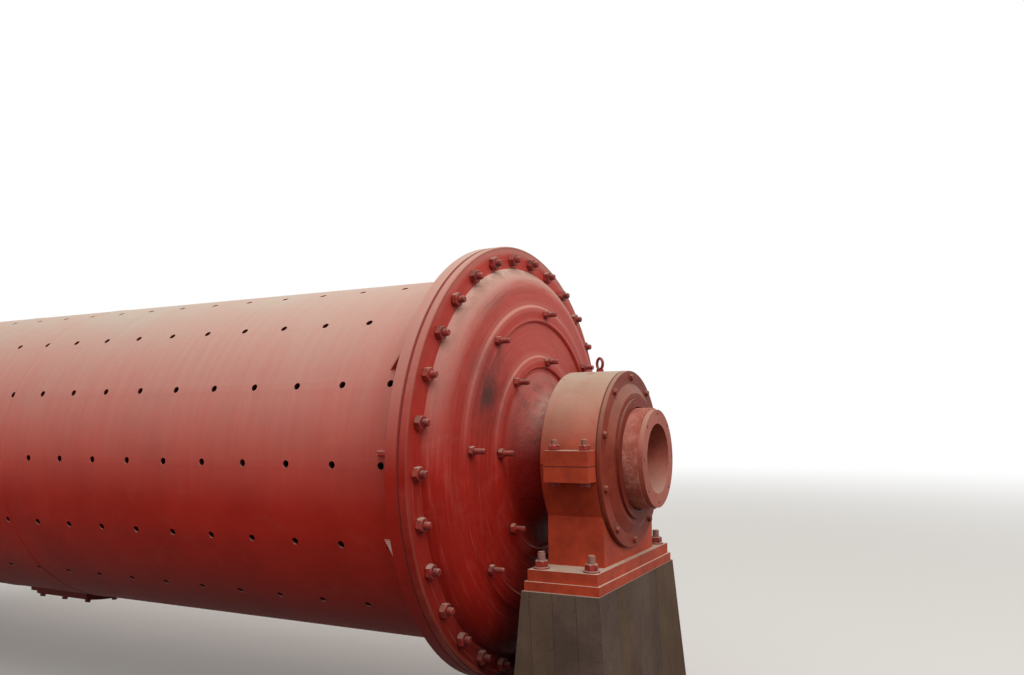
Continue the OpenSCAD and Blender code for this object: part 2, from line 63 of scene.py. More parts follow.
HOUSING_MID_X = (CAP_BACK_X + CAP_FRONT_X) / 2
BASE_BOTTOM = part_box("near_bearing_base")[0].z
NOSE_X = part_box("near_inlet_sleeve")[1].x

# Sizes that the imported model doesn't give by itself

HEAD_FLANGE_T = 0.042
BOLT_CIRCLE_R = 1.006
FLANGE_BOLTS = 30
FLANGE_BOLT_TURN = 7.4
HEAD_STUDS = 8  # in each of the two rings
STUD_TURN = 40.5
STUD_RINGS = ((0.7296, 0.1417), (0.4825, 0.1559))  # radius, and how far out of the joint
SLOPE_MIDDLES = (0.7661, 0.5070)  # radii of the outer slopes of the raised bands
CHAMFER_MIDDLES = (0.6866, 0.4515)  # radii of the bands' inner chamfers
GUSSETS = 15
GUSSET_TURN = 14.7
GUSSET_L = 0.137
GUSSET_HALF_T = 0.008
HOLE_ROW_STEP = 22.5
GEAR_WEB_T = 0.040
GEAR_STEEL_T = 0.105
GEAR_JOINT_HALF_T = 0.030
GEAR_JOINT_OUT = 0.085
GEAR_JOINT_R = (1.115, 1.185)
COVER_BOLTS = 10
COVER_BOLT_R = 0.388
COVER_FACE = JOINT_X + 0.624
SLEEVE_BOLTS = 8
SLEEVE_BOLT_R = 0.2105
SLEEVE_RECESS = 0.010
EAR_OFFSET = 0.062
EAR_HOLE_EDGE = 0.033
EAR_BOLT_Y = 0.469
EAR_T = 0.069
SPLIT_DROP = 0.015
FOOT_TOP = BASE_BOTTOM + 0.050
ANCHOR_X = 0.120
ANCHOR_Y = 0.450
MANHOLE_BOLT_X = 0.225
MANHOLE_BOLT_Y = 0.198
MANHOLE_RISE = 0.036

# Fasteners: the width across flats, the height, the stud and how far it sticks out of the nut

FLANGE_NUT = dict(width=0.058, height=0.030, stud_d=0.033, stick_out=0.028)
FLANGE_HEAD = dict(width=0.055, height=0.026)
HEAD_STUD_NUT = dict(width=0.041, height=0.022, stud_d=0.026, stick_out=0.052)
COVER_HEAD = dict(width=0.027, height=0.011, washer_t=0.003)
SLEEVE_SCREW = dict(d=0.0157, height=0.009, depth=0.005)
EAR_NUT = dict(width=0.046, height=0.025, stud_d=0.030, stick_out=0.027)
EAR_HEAD = dict(width=0.046, height=0.020)
ANCHOR_NUT = dict(width=0.055, height=0.0288, stud_d=0.036, stick_out=0.040, washer_t=0.008)
MANHOLE_HEAD = dict(width=0.030, height=0.014, washer_t=0.003)
GEAR_NUT = dict(width=0.036, height=0.0192, stud_d=0.024, stick_out=0.014, washer_t=0.004)
GEAR_HEAD = dict(width=0.036, height=0.015, washer_t=0.004)
FLANGE_SEED, STUD_SEED, HOUSING_SEED, GEAR_SEED = 11, 31, 51, 71

# Weld beads: width and height

FLANGE_BEAD = (0.016, 0.006)
GEAR_END_BEAD = (0.006, 0.002)
GUSSET_BEAD = (0.010, 0.004)
SEAM_BEAD = (0.022, 0.0022)


# Shapes: each is a list of vertices and a list of faces

def placed(shape, matrix):
    """The shape with its vertices moved by a matrix."""
    verts, faces = shape
    return [matrix @ v for v in verts], faces


def joined(shapes):
    """Several shapes as one."""
    verts, faces = [], []
    for more_verts, more_faces in shapes:
        base = len(verts)
        verts += more_verts
        faces += [tuple(base + i for i in face) for face in more_faces]
    return verts, faces


def ringed(rings):
    """Faces between rings of points. A ring of one point closes an end."""
    verts, faces, index = [], [], []
    for ring in rings:
        index.append(range(len(verts), len(verts) + len(ring)))
        verts += ring
    for a, b in zip(index, index[1:]):
        n = max(len(a), len(b))
        for i in range(n):
            j = (i + 1) % n
            if len(a) == 1:
                faces.append((a[0], b[j], b[i]))
            elif len(b) == 1:
                faces.append((a[i], a[j], b[0]))
            else:
                faces.append((a[i], a[j], b[j], b[i]))
    return verts, faces


def circle(r, z, n):
    """A ring of n points about Z, or a single point where the radius is 0."""
    if r == 0:
        return [Vector((0, 0, z))]
    turns = [2 * math.pi * i / n for i in range(n)]
    return [Vector((r * math.cos(a), r * math.sin(a), z)) for a in turns]


def lathe(profile, n=24):
    """A profile of (radius, height) points turned about Z."""
    return ringed([circle(r, z, n) for r, z in profile])


def hex_nut(width, height):
    """A six-sided nut with its top and bottom corners cut back."""
    corner, flat = width / math.sqrt(3), width / 2
    corner_cut, flat_cut, face_r = 0.09 * width, 0.01 * width, 0.94 * flat
    sides = 12

    def six_sided(z_corner, z_flat):
        points = []
        for i in range(sides):
            r, z = (corner, z_corner) if i % 2 == 0 else (flat, z_flat)
            a = 2 * math.pi * i / sides
            points.append(Vector((r * math.cos(a), r * math.sin(a), z)))
        return points

    return ringed([circle(0, 0, sides), circle(face_r, 0, sides), six_sided(corner_cut, flat_cut),
                   six_sided(height - corner_cut, height - flat_cut), circle(face_r, height, sides),
                   circle(0, height, sides)])


def threaded_end(d, length, pitch):
    """The bare end of a stud, with its thread as rings and a cut-back tip."""
    thread_depth, sides = 0.6 * pitch, 14
    r, root = d / 2, d / 2 - thread_depth
    profile = [(root, 0)]
    z = pitch / 2
    while z < length - pitch:
        profile += [(r, z), (root, z + pitch / 2)]
        z += pitch
    return lathe(profile + [(root, length - pitch / 2), (root - pitch / 2, length), (0, length)], sides)


def washer(d, t):
    """A washer with its top edge cut back."""
    sides, cut = 20, 0.3 * t
    return lathe([(0, 0), (d / 2, 0), (d / 2, t - cut), (d / 2 - cut, t), (0, t)], sides)


def nut_on_stud(rng, width, height, stud_d, stick_out, washer_t=0.0):
    """Washer, nut and stud end, seated on z = 0 and pointing up. rng turns the nut and cuts the stud."""
    washer_share, threads_in_d, shortest = 1.35, 9, 0.88
    parts = []
    if washer_t:
        parts.append(washer(width * washer_share, washer_t))
    lift = Matrix.Translation((0, 0, washer_t))
    turn = Matrix.Rotation(rng.uniform(0, math.pi / 3), 4, "Z")
    parts.append(placed(hex_nut(width, height), lift @ turn))
    top = Matrix.Translation((0, 0, washer_t + height))
    length = stick_out * rng.uniform(shortest, 1.0)
    parts.append(placed(threaded_end(stud_d, length, stud_d / threads_in_d), top))
    return joined(parts)


def bolt_head(width, height, washer_t=0.0):
    """A six-sided bolt head, on a washer where one is given."""
    washer_share = 1.3
    parts = [placed(hex_nut(width, height), Matrix.Translation((0, 0, washer_t)))]
    if washer_t:
        parts.append(washer(width * washer_share, washer_t))
    return joined(parts)


def socket_screw(d, height, depth):
    """A round head with a six-sided hollow in its top."""
    sides, cut, hollow_share = 24, 0.0008, 0.26
    profile = ((0, 0), (d / 2, 0), (d / 2, height - cut), (d / 2 - cut, height))
    rings = [circle(r, z, sides) for r, z in profile]
    for z in (height, height - depth):
        ring = []
        for i in range(sides):
            a = 2 * math.pi * i / sides
            r = hollow_share * d / math.cos(a % (math.pi / 3) - math.pi / 6)
            ring.append(Vector((r * math.cos(a), r * math.sin(a), z)))
        rings.append(ring)
    return ringed(rings + [circle(0, height - depth, sides)])


def about_axis(x, r, degrees, facing):
    """Places what points up so that it points along X, at radius r and that turn from the top."""
    up_to_x = Matrix.Rotation(facing * math.pi / 2, 4, "Y")
    return (Matrix.Translation((x, 0, AXIS_H)) @ Matrix.Rotation(math.radians(degrees), 4, "X")
            @ Matrix.Translation((0, 0, r)) @ up_to_x)


def on_circle(make, n, start, x, r, facing):
    """n shapes evenly round the drum's axis, facing along X."""
    return joined([placed(make(), about_axis(x, r, start + 360 * i / n, facing)) for i in range(n)])


def bead(points, normals, size, closed, seed):
    """A weld bead along points: a low half-round whose size wavers."""
    sides, waver, waver_step = 5, 0.16, 0.35
    width, height = size
    row = sides + 1
    verts, faces = [], []
    for k, (point, (side, up)) in enumerate(zip(points, normals)):
        wave = 1 + waver * noise.noise(Vector((k * waver_step, seed, 0.0)))
        for i in range(row):
            a = math.pi * i / sides
            across, out = math.cos(a) * width / 2 * wave, math.sin(a) * height * wave
            verts.append(point + side * across + up * out)
    n = len(points)
    for k in range(n if closed else n - 1):
        a, b = row * k, row * ((k + 1) % n)
        faces += [(a + i, a + i + 1, b + i + 1, b + i) for i in range(sides)]
    return verts, faces


def ring_bead(x, size, seed, side=(1, 0), up=(0, 1)):
    """A bead round the shell. side and up lie in the plane of the axis: (along X, outward)."""
    n = 240
    points, normals = [], []
    for i in range(n):
        a = 2 * math.pi * i / n
        out = Vector((0, -math.sin(a), math.cos(a)))
        points.append(Vector((x, 0, AXIS_H)) + out * SHELL_R)
        normals.append((Vector((side[0], 0, 0)) + out * side[1], Vector((up[0], 0, 0)) + out * up[1]))
    return bead(points, normals, size, True, seed)


def straight_bead(start, end, side, up, size, seed):
    """A bead from start to end, in steps of about 20 mm."""
    step, fewest = 0.02, 4
    n = max(fewest, int((end - start).length / step))
    points = [start.lerp(end, i / n) for i in range(n + 1)]
    return bead(points, [(side, up)] * (n + 1), size, False, seed)


def add_piece(name, shape, body, material):
    """Makes the shape a piece of the scene that moves with a body."""
    smooth_angle = 35
    mesh = bpy.data.meshes.new(name)
    mesh.from_pydata(shape[0], [], shape[1])
    mesh.update()
    mesh.polygons.foreach_set("use_smooth", [True] * len(mesh.polygons))
    mesh.set_sharp_from_angle(angle=math.radians(smooth_angle))
    mesh.materials.append(material)
    piece = bpy.data.objects.new(name, mesh)
    bpy.context.scene.collection.objects.link(piece)
    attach(piece, body)
    return piece


# Material graphs

def colour(r, g, b):
    """A colour read as eight-bit sRGB, as the linear value that a shader takes."""
    def linear(c):
        c /= 255
        return c / 12.92 if c <= 0.04045 else ((c + 0.055) / 1.055) ** 2.4
    return (linear(r), linear(g), linear(b), 1.0)


class Graph:
    """A material's node tree, with short calls for the nodes that repeat."""

    def __init__(self, name):
        self.material = bpy.data.materials.new(name)
        self.material.use_nodes = True
        self.tree = self.material.node_tree
        self.tree.nodes.clear()
        place = self.tree.nodes.new("ShaderNodeTexCoord")
        self.place = place.outputs["Object"]
        self.normal = place.outputs["Normal"]

    def node(self, kind, values, **settings):
        """Adds a node. The sockets among its values are linked, and the rest are set."""
        made = self.tree.nodes.new(kind)
        for key, value in settings.items():
            setattr(made, key, value)
        for key, value in values.items():
            if isinstance(value, bpy.types.NodeSocket):
                self.tree.links.new(value, made.inputs[key])
            else:
                made.inputs[key].default_value = value
        return made

    def math(self, operation, a, b=0.0, clamp=False):
        """The result of a math node. Some operations take only the first value."""
        return self.node("ShaderNodeMath", {0: a, 1: b}, operation=operation, use_clamp=clamp).outputs[0]

    def folded(self, operation, first, others):
        """The same operation with each further value in turn."""
        for other in others:
            first = self.math(operation, first, other)
        return first

    def product(self, first, *others):
        return self.folded("MULTIPLY", first, others)

    def total(self, first, *others):
        return self.folded("ADD", first, others)

    def most(self, first, *others):
        """The largest of several values."""
        return self.folded("MAXIMUM", first, others)

    def gap(self, value, centre):
        """How far a value lies from a centre, to either side."""
        return self.math("ABSOLUTE", self.math("SUBTRACT", value, centre))

    def split(self, vector):
        """The three parts of a vector."""
        parts = self.node("ShaderNodeSeparateXYZ", {0: vector})
        return parts.outputs[0], parts.outputs[1], parts.outputs[2]

    def joined(self, x, y, z):
        """A vector of three parts."""
        return self.node("ShaderNodeCombineXYZ", {0: x, 1: y, 2: z}).outputs[0]

    def scaled(self, scale):
        """The place, stretched by a factor along each axis."""
        return self.node("ShaderNodeVectorMath", {0: self.place, 1: scale}, operation="MULTIPLY").outputs[0]

    def noise(self, scale, detail=4.0, rough=0.55, vector=None, distortion=0.0):
        """Cloudy noise from 0 to 1, at the place unless a vector is given."""
        return self.node("ShaderNodeTexNoise", {
            "Vector": vector or self.place, "Scale": scale, "Detail": detail,
            "Roughness": rough, "Distortion": distortion}).outputs["Fac"]

    def line(self, value, low, high, to_low=0.0, to_high=1.0, curve="LINEAR"):
        """A straight run from to_low to to_high while the value goes from low to high."""
        return self.node("ShaderNodeMapRange", {
            "Value": value, "From Min": low, "From Max": high, "To Min": to_low, "To Max": to_high},
            interpolation_type=curve).outputs[0]

    def ramp(self, value, low, high, to_low=0.0, to_high=1.0):
        """The same run, eased at both ends."""
        return self.line(value, low, high, to_low, to_high, "SMOOTHSTEP")

    def patches(self, noise_settings, low, high, full=1.0, distortion=0.0):
        """Cloudy patches: 0 where the noise is below low, and full where it is above high."""
        return self.ramp(self.noise(*noise_settings, distortion=distortion), low, high, 0, full)

    def mix(self, share, a, b):
        """Colour a, with that share of colour b."""
        factor, first, second, colour_out = 0, 6, 7, 2
        made = self.node("ShaderNodeMix", {}, data_type="RGBA")
        for key, value in ((factor, share), (first, a), (second, b)):
            if isinstance(value, bpy.types.NodeSocket):
                self.tree.links.new(value, made.inputs[key])
            else:
                made.inputs[key].default_value = value
        return made.outputs[colour_out]

    def near(self, value, centre, width):
        """1 where value is at the centre, falling to 0 at that width to either side."""
        return self.ramp(self.gap(value, centre), 0, width, 1, 0)

    def away(self, across, along):
        """The length of a vector with those two parts."""
        return self.math("SQRT", self.total(self.product(across, across), self.product(along, along)))

    def about_drum(self):
        """The distance from the drum's axis, and the turn from the top in radians."""
        _, y, z = self.split(self.place)
        up = self.math("SUBTRACT", z, AXIS_H)
        return self.away(y, up), self.math("ARCTAN2", self.product(y, -1), up)

    def past_joint(self):
        """How far a point lies past the joint of shell and head, at either end."""
        x, _, _ = self.split(self.place)
        return self.math("SUBTRACT", self.math("ABSOLUTE", x), JOINT_X)

    def finish(self, base, rough, height, depth, specular=0.08):
        """The shader with its bump, linked to the material's output."""
        bump = self.node("ShaderNodeBump", {"Height": height, "Distance": depth})
        shader = self.node("ShaderNodeBsdfPrincipled", {
            "Base Color": base, "Roughness": rough, "Specular IOR Level": specular,
            "Normal": bump.outputs[0]})
        out = self.tree.nodes.new("ShaderNodeOutputMaterial")
        self.tree.links.new(shader.outputs[0], out.inputs[0])
        return self.material


# Paint and dirt

YARD_DUST = (colour(211, 196, 180), colour(214, 184, 169))
BROWN_DUST = (colour(202, 187, 168), colour(192, 162, 140))
RED = colour(200, 50, 38)
# Mixed in at random, and towards the ground as painted shade
DEEP_RED = colour(128, 20, 14)
CHALK_RED = colour(196, 92, 80)
# Painted shade on the underside of the drum and of its fasteners
LOW_SHADE_RED = colour(58, 10, 8)
# Painted shade in the groove between the flanges
GROOVE_SHADE_RED = colour(132, 44, 36)
RIM_GRIME = colour(128, 84, 68)
HOLE_DARK = (colour(40, 18, 15), colour(76, 36, 28))
SCORED_RED = colour(112, 30, 26)
SHOULDER_DIRT = colour(112, 72, 62)
# Grime round the studs, and painted contact shade
STUD_GRIME_AND_SHADE = colour(84, 28, 24)
# The cast hub's red, and a lighter red painted as a highlight
CAST_RED_AND_HIGHLIGHT = (colour(124, 24, 20), colour(174, 50, 42))
BAND_TOP_RED = colour(176, 46, 38)
# Dust beside the bands' slopes, also a painted highlight
DRIFT_DUST_AND_HIGHLIGHT = colour(208, 136, 122)
GREASE = colour(64, 56, 54)
NOSE_RED = (colour(206, 138, 120), colour(174, 94, 78))
LEDGE_DIRT = colour(150, 112, 94)
CAP_RED = (colour(188, 72, 45), colour(152, 55, 36))
COVER_RED = (colour(148, 62, 46), colour(118, 44, 32))
SLEEVE_RED = (colour(184, 104, 88), colour(158, 80, 66))
BOSS_DARK = colour(108, 40, 32)
SEAM_DARK = colour(84, 44, 32)
RUST_SPECK = colour(104, 58, 42)
NUT_RED = (colour(168, 50, 44), colour(108, 26, 26))
NUT_RUST = colour(116, 72, 58)
STEEL = (colour(58, 58, 58), colour(88, 85, 81))
STEEL_RUST = colour(104, 74, 56)
IRON = (colour(64, 55, 50), colour(108, 70, 50))
CONCRETE = (colour(102, 85, 75), colour(77, 62, 55))
BROWN_BOARD = colour(100, 76, 54)
GREY_BOARD = colour(74, 60, 56)
GRAIN_DARK = colour(66, 54, 47)
BOARD_SEAM = colour(58, 48, 42)
SPLASHED = colour(114, 97, 78)
FLOOR_THROWS = colour(84, 76, 68)
FLOOR_SHOWS = colour(226, 224, 220)

CLEAN_ROUGH, DUSTY_ROUGH = 0.46, 0.84  # roughness of bare paint and of paint under dust


def dusted(graph, paint, amount, power=1.0, dusts=YARD_DUST, film=0.1, streak=0.2, patch=0.22,
           least=-0.03):
    """Lays dust on what faces up, thinner down the sides, with streaks that run downhill."""
    cloud_scale, run_scale, fine_scale, fine = 1.6, (26.0, 1.6, 1.6), 60.0, 0.05
    _, _, z = graph.split(graph.place)
    _, _, up = graph.split(graph.normal)
    lie = graph.math("POWER", graph.line(up, least, 1.0), power)
    cloud = graph.noise(cloud_scale, 5, 0.6)
    runs = graph.noise(1.0, 6, 0.65, graph.scaled(run_scale))
    uneven = graph.total(graph.line(cloud, 0.25, 0.75, -patch / 2, patch / 2),
                         graph.line(runs, 0.25, 0.75, -streak / 2, streak / 2),
                         graph.line(graph.noise(fine_scale, 3, 0.6), 0.3, 0.7, -fine, fine))
    half_covered = graph.product(lie, graph.math("SUBTRACT", 1.3, lie))
    share = graph.total(graph.product(lie, amount), graph.line(z, AXIS_H, AXIS_H + FLANGE_R, 0, film))
    share = graph.math("ADD", share, graph.product(uneven, half_covered), clamp=True)
    tint = graph.mix(graph.ramp(cloud, 0.35, 0.65), *dusts)
    return graph.mix(share, paint, tint), share


def worn_red(graph, mottle, depth=0.0):
    """Red primer, deeper towards the ground as painted shade, with clouds and chalky scuffs, and painted
    shade below.
    """
    lowest, highest, most_deep = AXIS_H - 0.95, AXIS_H + 0.85, 0.85
    _, _, z = graph.split(graph.place)
    # Painted shade: the paint runs deeper towards the ground, where less light reaches.
    low = graph.line(z, lowest, highest, most_deep + depth, depth)
    cloud = graph.ramp(graph.noise(2.3, 5, 0.6), 0.3, 0.72, -0.08, 0.2)
    paint = graph.mix(graph.math("ADD", low, cloud, clamp=True), RED, DEEP_RED)
    chalked = graph.patches((6.5, 8, 0.72), 0.48, 0.8, mottle, distortion=0.6)
    return painted_low_shade(graph, graph.mix(chalked, paint, CHALK_RED))


def painted_low_shade(graph, paint):
    """Darkens the underside of the drum as painted shade, for the shade that falls near the ground."""
    darkest, unshaded, share = AXIS_H - 0.90, AXIS_H - 0.48, 0.62
    _, _, z = graph.split(graph.place)
    return graph.mix(graph.ramp(z, darkest, unshaded, share, 0), paint, LOW_SHADE_RED)


def joint_crease(graph, base, radius):
    """Darker red in the groove between the two flanges, kept free of dust and darkened as painted shade, and
    grime along the rim's front edge.
    """
    groove_w, groove_edge, edge_w = 0.0045, 0.0105, 0.0055
    rim_edge = (FLANGE_R - 0.016, FLANGE_R - 0.010)
    out = graph.past_joint()
    rim = graph.ramp(radius, *rim_edge)
    # Painted shade in the groove where the flanges meet.
    groove = graph.product(graph.ramp(graph.math("ABSOLUTE", out), groove_w, groove_edge, 0.85, 0), rim)
    edge = graph.product(graph.near(out, HEAD_FLANGE_T, edge_w), rim, 0.4)
    return graph.mix(edge, graph.mix(groove, base, GROOVE_SHADE_RED), RIM_GRIME)


def shell_material():
    """The shell: streaked with dust from the top, and dark inside its holes."""
    washed_from, washed_to, washed = 2.4, 3.1, 0.17
    hole_edge = (SHELL_R - 0.004, SHELL_R - 0.001)
    graph = Graph("shell_primer")
    radius, _ = graph.about_drum()
    x, _, _ = graph.split(graph.place)
    paint = worn_red(graph, 0.22, -0.3)
    base, dust = dusted(graph, paint, 1.0, 1.3, streak=0.32, least=-0.25)
    base = graph.mix(graph.ramp(graph.math("ABSOLUTE", x), washed_from, washed_to, 0, washed), base, paint)
    # The walls of the holes are dark.
    dark_walls = graph.mix(graph.patches((7, 6, 0.7), 0.35, 0.65), *HOLE_DARK)
    base = graph.mix(graph.ramp(radius, *hole_edge, 1, 0), base, dark_walls)
    height = graph.total(graph.noise(9, 4, 0.6), graph.product(graph.noise(150, 2), 0.1))
    return graph.finish(base, graph.ramp(dust, 0, 1, 0.5, 0.85), height, 0.0012)


# The heads' own marks. Radii and widths are in metres, and turns in radians from the top

GREASE_TOP = (-0.442, 0.539)  # y, and z above the axis, where the run of grease starts
GREASE_END = (-0.552, 0.322)  # the middle of the smudge that it leads to
SMUDGE_HALF_W = 0.115
SMUDGE_HALF_L = 0.15


def stud_grime_and_shade(graph, radius, turn):
    """1 close round each stud of the head, 0 away from them."""
    nut_edge, grime_and_shade_edge = 0.020, 0.050
    step = 2 * math.pi / HEAD_STUDS
    count = graph.math("DIVIDE", graph.math("SUBTRACT", turn, math.radians(STUD_TURN)), step)
    swing = graph.math("SUBTRACT", graph.math("FRACT", graph.math("ADD", count, HEAD_STUDS + 0.5)), 0.5)
    across = graph.product(swing, step, radius)
    rings = []
    for ring_r, _ in STUD_RINGS:
        gap = graph.away(graph.math("SUBTRACT", radius, ring_r), across)
        # Grime and painted contact shade in a ring round each nut.
        rings.append(graph.ramp(gap, nut_edge, grime_and_shade_edge, 1, 0))
    return graph.most(*rings)


def grease_patch(graph, rough_edge):
    """A dark smudge on the face, with the run of grease that leads down to it from a stud."""
    run_half_w, run_edge, run_end = 0.006, 0.022, 0.05
    _, y, z = graph.split(graph.place)
    top_y, top_z = GREASE_TOP
    length = math.hypot(GREASE_END[0] - top_y, GREASE_END[1] - top_z)
    run_y, run_z = (GREASE_END[0] - top_y) / length, (GREASE_END[1] - top_z) / length
    from_y = graph.math("SUBTRACT", y, top_y)
    from_z = graph.math("SUBTRACT", z, AXIS_H + top_z)
    along = graph.total(graph.product(from_y, run_y), graph.product(from_z, run_z))
    across = graph.math("SUBTRACT", graph.product(from_y, run_z), graph.product(from_z, run_y))
    wide = graph.math("POWER", graph.math("DIVIDE", across, SMUDGE_HALF_W), 2.0)
    from_end = graph.math("SUBTRACT", along, length)
    long = graph.math("POWER", graph.math("DIVIDE", from_end, SMUDGE_HALF_L), 2.0)
    from_middle = graph.total(wide, long)
    core = graph.product(graph.line(from_middle, 0.0, 1.2, 0.9, 0.0), graph.line(rough_edge, 0, 1, 0.5, 1.0))
    haze = graph.product(graph.ramp(from_middle, 0.2, 4.0, 0.4, 0.0), graph.line(rough_edge, 0, 1, 0.3, 1.0))
    run = graph.product(graph.ramp(graph.math("ABSOLUTE", across), run_half_w, run_edge, 0.55, 0.0),
                        graph.ramp(along, -0.02, 0.02), graph.ramp(along, length, length + run_end, 1, 0),
                        rough_edge)
    return graph.most(core, haze, run)


def head_marks(graph, base, radius, turn):
    """Brush marks round the axis, dirt on the shoulder, and grime round the studs that is also painted
    contact shade.
    """
    rings_in_r, rings_in_turn, band_w = 75, 2.2, 0.05
    shoulder_r, shoulder_w, dirt_turn, dirt_w = 0.875, 0.07, 0.52, 0.3
    rings = graph.noise(1.0, 4, 0.6, graph.joined(graph.product(radius, rings_in_r),
                                                  graph.product(turn, rings_in_turn), 0))
    bands = graph.most(*[graph.near(radius, r, band_w) for r, _ in STUD_RINGS])
    plain = graph.math("SUBTRACT", 1.0, graph.product(bands, 0.7))
    base = graph.mix(graph.product(graph.ramp(rings, 0.52, 0.75, 0, 0.45), plain), base, CHALK_RED)
    base = graph.mix(graph.ramp(rings, 0.5, 0.28, 0, 0.3), base, SCORED_RED)
    rough_edge = graph.patches((13, 5, 0.7), 0.3, 0.62)
    dirt = graph.product(graph.near(radius, shoulder_r, shoulder_w), graph.near(turn, dirt_turn, dirt_w),
                         rough_edge, 0.5)
    base = graph.mix(dirt, base, SHOULDER_DIRT)
    return graph.mix(graph.product(stud_grime_and_shade(graph, radius, turn), rough_edge, 0.6), base, STUD_GRIME_AND_SHADE)


def band_edges(graph, radius):
    """Where the raised bands' slopes lose dust towards their edges, a painted shade that softens their flat
    shading, and where the inner chamfers lose it, with the dust that drifts beside the slopes, which is also
    a painted highlight.
    """
    slope_half_w, slope_edge, slope_end, drift_end = 0.011, 0.0112, 0.0124, 0.036
    chamfer_half_w, chamfer_end = 0.005, 0.0065
    wiped_and_shaded, drift_and_highlight = [], []
    for middle in SLOPE_MIDDLES:
        gap = graph.gap(radius, middle)
        on_slope = graph.ramp(gap, slope_edge, slope_end, 1, 0)
        # Painted shade: less dust towards the slope's edges softens the shading of its flat faces.
        wiped_and_shaded.append(graph.product(graph.ramp(gap, 0.0, slope_half_w, 0.2, 0.9), on_slope))
        beside = graph.ramp(gap, slope_edge, slope_end)
        # Dust beside the slope that is also a painted highlight of a rounder edge.
        drift_and_highlight.append(graph.product(beside, graph.ramp(gap, slope_half_w, drift_end, 0.34, 0)))
    for middle in CHAMFER_MIDDLES:
        wiped_and_shaded.append(graph.ramp(graph.gap(radius, middle), chamfer_half_w, chamfer_end, 0.85, 0))
    return graph.most(*wiped_and_shaded), graph.most(*drift_and_highlight)


def swept_places(graph, radius, turn, hub, wipes_and_slope_shade):
    """Where the head carries less dust: hub, flange, the bands' slopes, whose edges are darkened this way as
    painted shade, and strokes on the shoulder.
    """
    strokes_in_r, strokes_in_turn, shoulder_r, shoulder_w = 58, 3.4, 0.865, 0.055
    flange_edge = (0.955, 0.985)
    strokes = graph.noise(1.0, 4, 0.65, graph.joined(graph.product(radius, strokes_in_r),
                                                     graph.product(turn, strokes_in_turn), 2.0))
    strokes = graph.product(graph.ramp(strokes, 0.46, 0.62, 0, 0.75),
                            graph.near(radius, shoulder_r, shoulder_w))
    flange = graph.ramp(radius, *flange_edge, 0, 0.6)
    return graph.most(hub, flange, strokes, wipes_and_slope_shade)


def band_dust(graph, base, radius, upper, drift_and_highlight):
    """Bare red on the bands' tops, and dust that drifts beside their slopes and is also a painted highlight,
    on the upper half.
    """
    half_w, edge = 0.021, 0.027
    lit = graph.ramp(upper, -0.2, 0.7)
    tops = graph.most(*[graph.ramp(graph.gap(radius, r), half_w, edge, 1, 0) for r, _ in STUD_RINGS])
    base = graph.mix(graph.product(tops, lit, 0.5), base, BAND_TOP_RED)
    return graph.mix(graph.product(drift_and_highlight, lit), base, DRIFT_DUST_AND_HIGHLIGHT)


def trunnion_and_nose(graph, base, turn):
    """Pale dust on the trunnion's camera side, and a rubbed nose."""
    dust_out, dust_w, dust_turn, dust_turn_w = 0.27, 0.09, 0.55, 0.75
    nose_edge = (0.60, 0.63)
    out = graph.past_joint()
    pale = graph.product(graph.near(out, dust_out, dust_w), graph.near(turn, dust_turn, dust_turn_w),
                         graph.patches((20, 6, 0.75), 0.35, 0.6), 0.72)
    base = graph.mix(pale, base, YARD_DUST[1])
    nose = graph.mix(graph.patches((14, 6, 0.7), 0.35, 0.65), *NOSE_RED)
    return graph.mix(graph.product(graph.ramp(out, *nose_edge), 0.8), base, nose)


def flange_dust(graph, base, radius, upper):
    """Dirt in the corner at the flange's foot, and dust on its lip, near the top."""
    foot_r, foot_w, lip_edge = 0.945, 0.032, (1.015, 1.055)
    foot = graph.product(graph.near(radius, foot_r, foot_w), graph.ramp(upper, 0.1, 0.9),
                         graph.patches((11, 6, 0.7), 0.3, 0.65), 0.6)
    lip = graph.product(graph.ramp(radius, *lip_edge), graph.ramp(upper, 0.5, 1.0), 0.3)
    return graph.mix(lip, graph.mix(foot, base, LEDGE_DIRT), YARD_DUST[1])


def head_material():
    """The dished heads: a swept flange, a brushed face and a rough hub, with a painted highlight where the
    hub faces up.
    """
    hub_edge = (0.36, 0.44)
    graph = Graph("head_primer")
    radius, turn = graph.about_drum()
    upper = graph.math("COSINE", turn)
    hub = graph.ramp(radius, *hub_edge, 1, 0)
    _, _, up = graph.split(graph.normal)
    paint = head_marks(graph, worn_red(graph, 0.35, 0.12), radius, turn)
    # Painted highlight: lighter red flecks where the hub faces up.
    speckle_highlight = graph.product(graph.patches((16, 6, 0.7), 0.36, 0.6), graph.ramp(up, 0.0, 0.6))
    paint = graph.mix(graph.product(hub, 0.88), paint, graph.mix(speckle_highlight, *CAST_RED_AND_HIGHLIGHT))
    dusty, dust = dusted(graph, paint, 0.98, 1.12, patch=0.34)
    swept, _ = dusted(graph, paint, 0.34, 1.0, film=0.05)
    wipes_and_slope_shade, drift_and_highlight = band_edges(graph, radius)
    base = graph.mix(swept_places(graph, radius, turn, hub, wipes_and_slope_shade), dusty, swept)
    base = band_dust(graph, base, radius, upper, drift_and_highlight)
    base = graph.mix(grease_patch(graph, graph.patches((13, 5, 0.7), 0.3, 0.62)), base, GREASE)
    base = trunnion_and_nose(graph, base, turn)
    base = flange_dust(graph, base, radius, upper)
    base = joint_crease(graph, base, radius)
    lumps = graph.total(graph.noise(38, 5, 0.6), graph.product(graph.noise(120, 3), 0.35))
    deep = graph.product(lumps, graph.total(graph.product(hub, 2.2), 0.3))
    return graph.finish(base, graph.ramp(dust, 0, 1, CLEAN_ROUGH, DUSTY_ROUGH),
                        graph.total(deep, graph.noise(6, 3)), 0.003)


